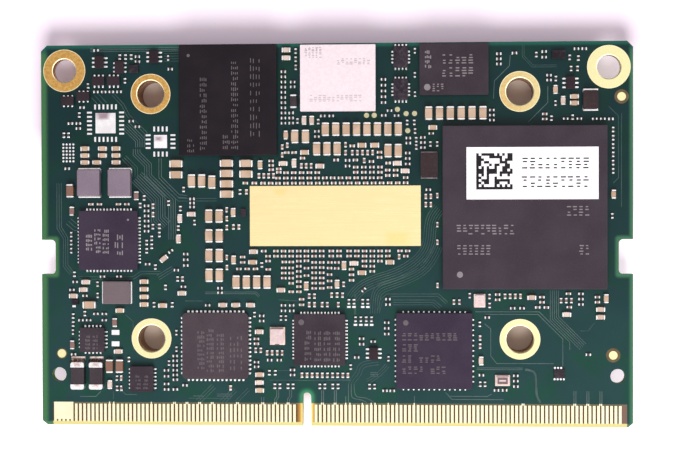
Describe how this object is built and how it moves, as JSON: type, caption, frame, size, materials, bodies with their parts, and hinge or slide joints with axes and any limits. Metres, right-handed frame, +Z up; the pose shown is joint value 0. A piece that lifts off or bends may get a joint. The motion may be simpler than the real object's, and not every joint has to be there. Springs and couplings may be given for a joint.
{
  "type": "system on module",
  "caption": "Bare circuit card with an edge contact row, key slot, latch notches, plated fixing holes and chips on both faces; plugs in as a device's computing core.",
  "frame": {"origin": "centre of the card's outline, on the plane of the four spacers' lower ends", "axes": "+X along the contact edge to the right, +Y from the contact edge to the plain edge, +Z up out of the face that carries the label"},
  "size_m": [0.0696, 0.045, 0.0053],
  "materials": {
    "solder_mask": "semi-gloss green solder mask over copper",
    "gold_plate": "thin gold plating, satin",
    "solder": "bright solder and tin plating",
    "spacer_steel": "turned and tin plated",
    "dark_mould": "matt black moulding compound",
    "grey_mould": "matt dark grey moulding compound",
    "label_film": "white printed film",
    "shield_plate": "metallised moulding, satin",
    "tan_ceramic": "tan ceramic",
    "pale_ceramic": "pale ceramic",
    "resistor_glaze": "black glaze",
    "lilac_ferrite": "grey moulded ferrite",
    "dark_ferrite": "dark sintered ferrite",
    "crystal_ceramic": "ceramic base",
    "crystal_metal": "plated metal lid"
  },
  "bodies": {
    "root": {"circuit_board": "solder_mask", "edge_contacts_top": "gold_plate", "edge_contacts_bottom": "gold_plate", "corner_hole_plating": "gold_plate", "cooler_hole_plating": "gold_plate", "cooler_spacers": "spacer_steel", "fiducials": "gold_plate", "test_pads": "gold_plate", "thermal_pad": "gold_plate", "solder_lands": "solder", "coprocessor": "grey_mould", "coprocessor_balls": "solder", "code_label": "label_film", "storage_flash": "dark_mould", "storage_flash_balls": "solder", "boot_flash": "grey_mould", "boot_flash_balls": "solder", "radio_module": "shield_plate", "radio_lands": "gold_plate", "power_controller": "grey_mould", "power_controller_leads": "solder", "network_chip": "grey_mould", "network_chip_leads": "solder", "hub_chip": "grey_mould", "hub_chip_leads": "solder", "display_bridge": "grey_mould", "display_bridge_leads": "solder", "regulator": "grey_mould", "regulator_leads": "solder", "load_driver": "grey_mould", "load_driver_leads": "solder", "signal_switches": "dark_mould", "signal_switch_leads": "solder", "transistors": "dark_mould", "transistor_leads": "solder", "wafer_chips": "dark_mould", "power_inductors": "lilac_ferrite", "power_inductor_clips": "solder", "flat_inductor": "lilac_ferrite", "flat_inductor_clips": "solder", "chip_inductors": "dark_ferrite", "chip_inductor_caps": "solder", "black_inductors": "dark_mould", "black_inductor_clips": "solder", "crystal_bases": "crystal_ceramic", "crystal_lids": "crystal_metal", "large_capacitors": "tan_ceramic", "large_capacitor_caps": "solder", "middle_capacitors": "tan_ceramic", "pale_capacitors": "pale_ceramic", "middle_capacitor_caps": "solder", "small_capacitors": "tan_ceramic", "chip_resistors": "resistor_glaze", "small_part_caps": "solder", "processor": "grey_mould", "processor_balls": "solder", "memory_packages": "dark_mould", "memory_balls": "solder", "underside_capacitors": "tan_ceramic", "underside_capacitor_caps": "solder"}
  },
  "joints": []
}
